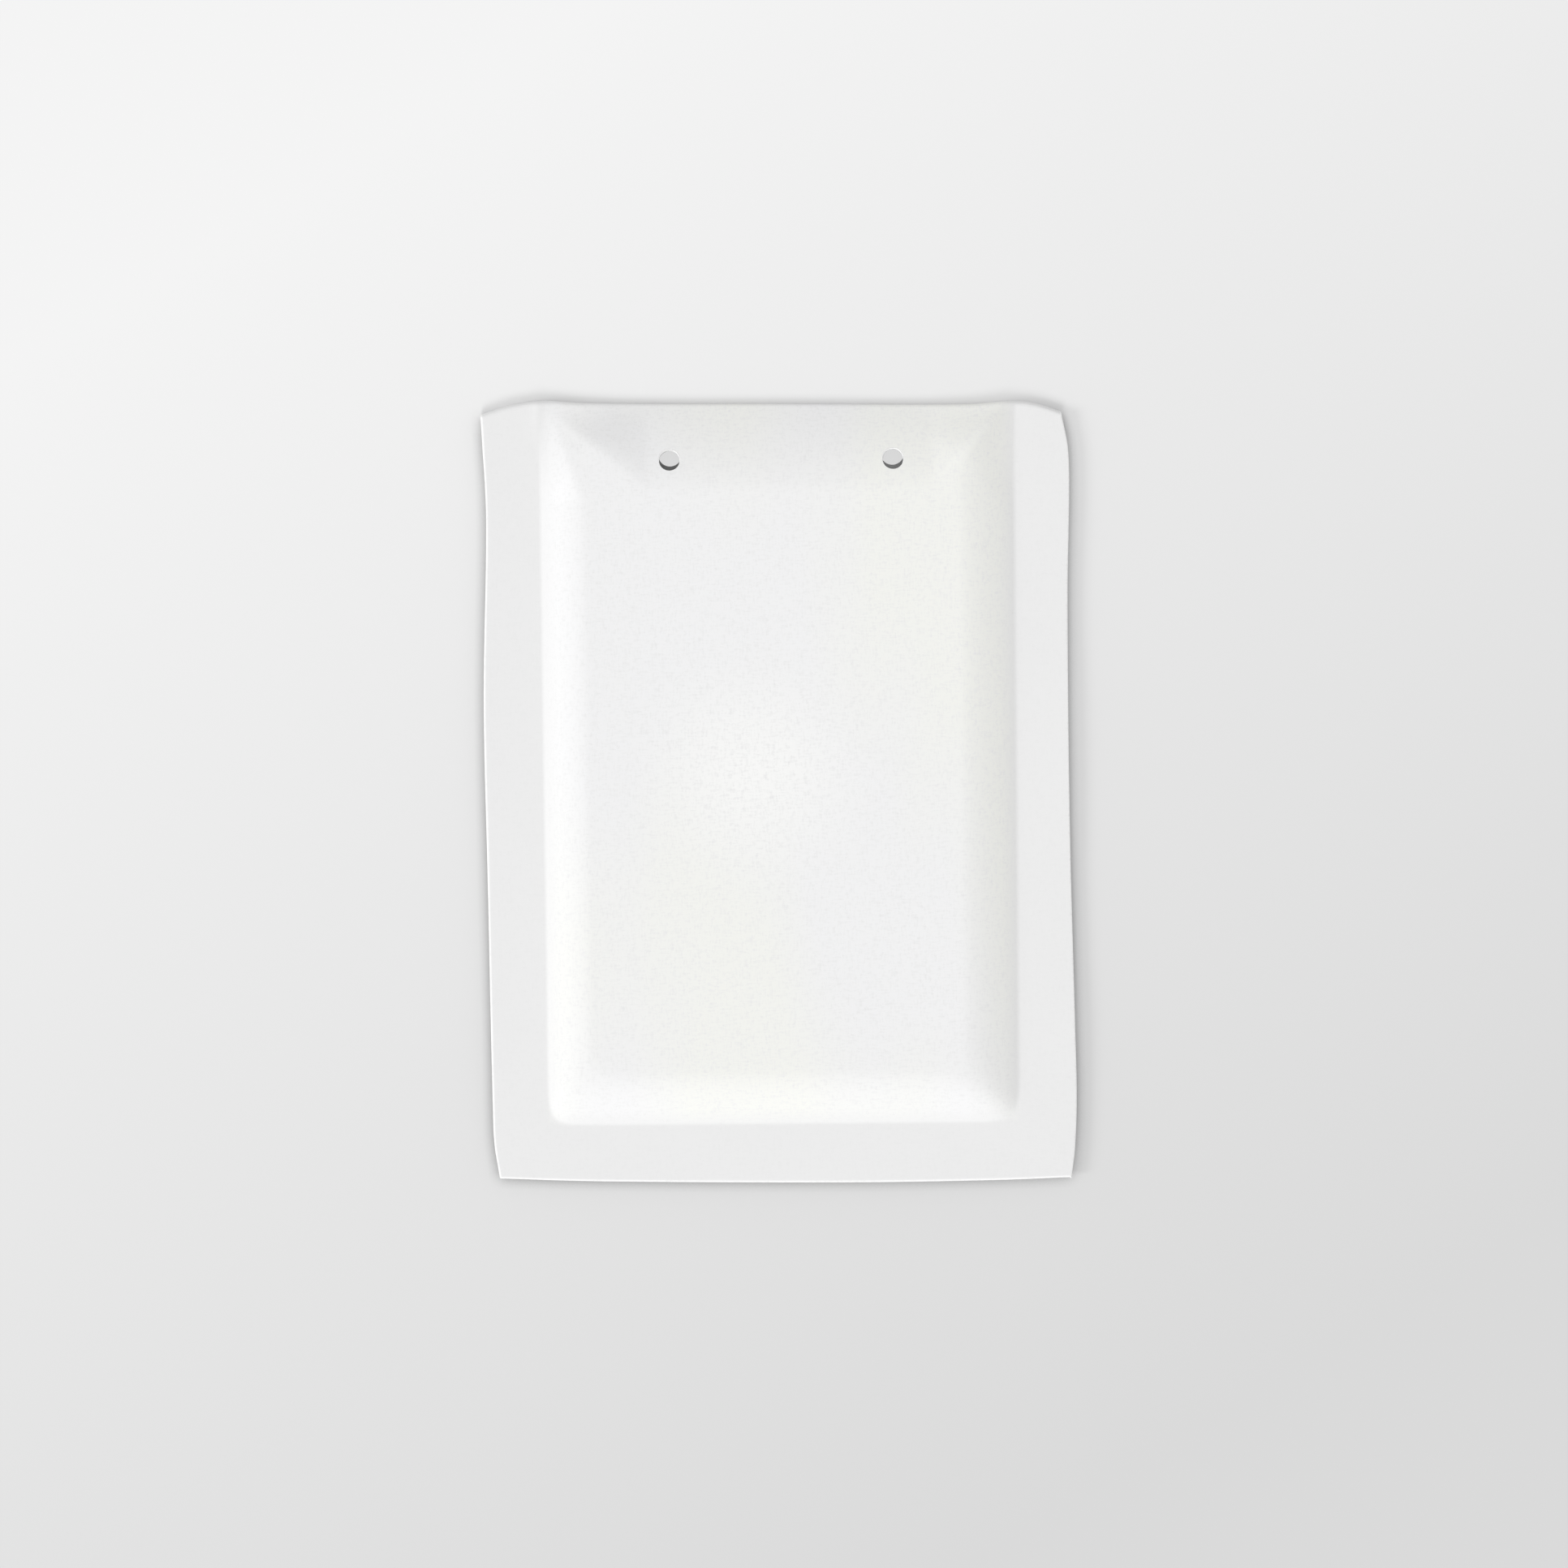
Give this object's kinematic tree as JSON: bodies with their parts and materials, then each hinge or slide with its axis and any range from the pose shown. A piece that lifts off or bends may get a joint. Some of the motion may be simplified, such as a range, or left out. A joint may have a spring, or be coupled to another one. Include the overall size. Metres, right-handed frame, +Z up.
{
  "type": "bubble envelope",
  "caption": "Padded postal envelope of two white paper sheets sealed round a bubble film lining, with a flap folded behind and two punched holes for a paper fastener.",
  "frame": {"origin": "on the ground under the middle of the envelope, which lies on its back", "axes": "+Y towards the folded top edge, +X to the right seen from the front, +Z up out of the front face"},
  "size_m": [0.1698, 0.2253, 0.0088],
  "materials": {
    "white_paper": "matte",
    "bubble_film": "gloss",
    "glue": "satin",
    "liner_paper": "satin"
  },
  "bodies": {
    "root": {"front_sheet": "white_paper", "back_sheet": "white_paper", "front_bubble_lining": "bubble_film", "back_bubble_lining": "bubble_film", "adhesive_strip": "glue", "release_liner": "liner_paper"}
  },
  "joints": []
}
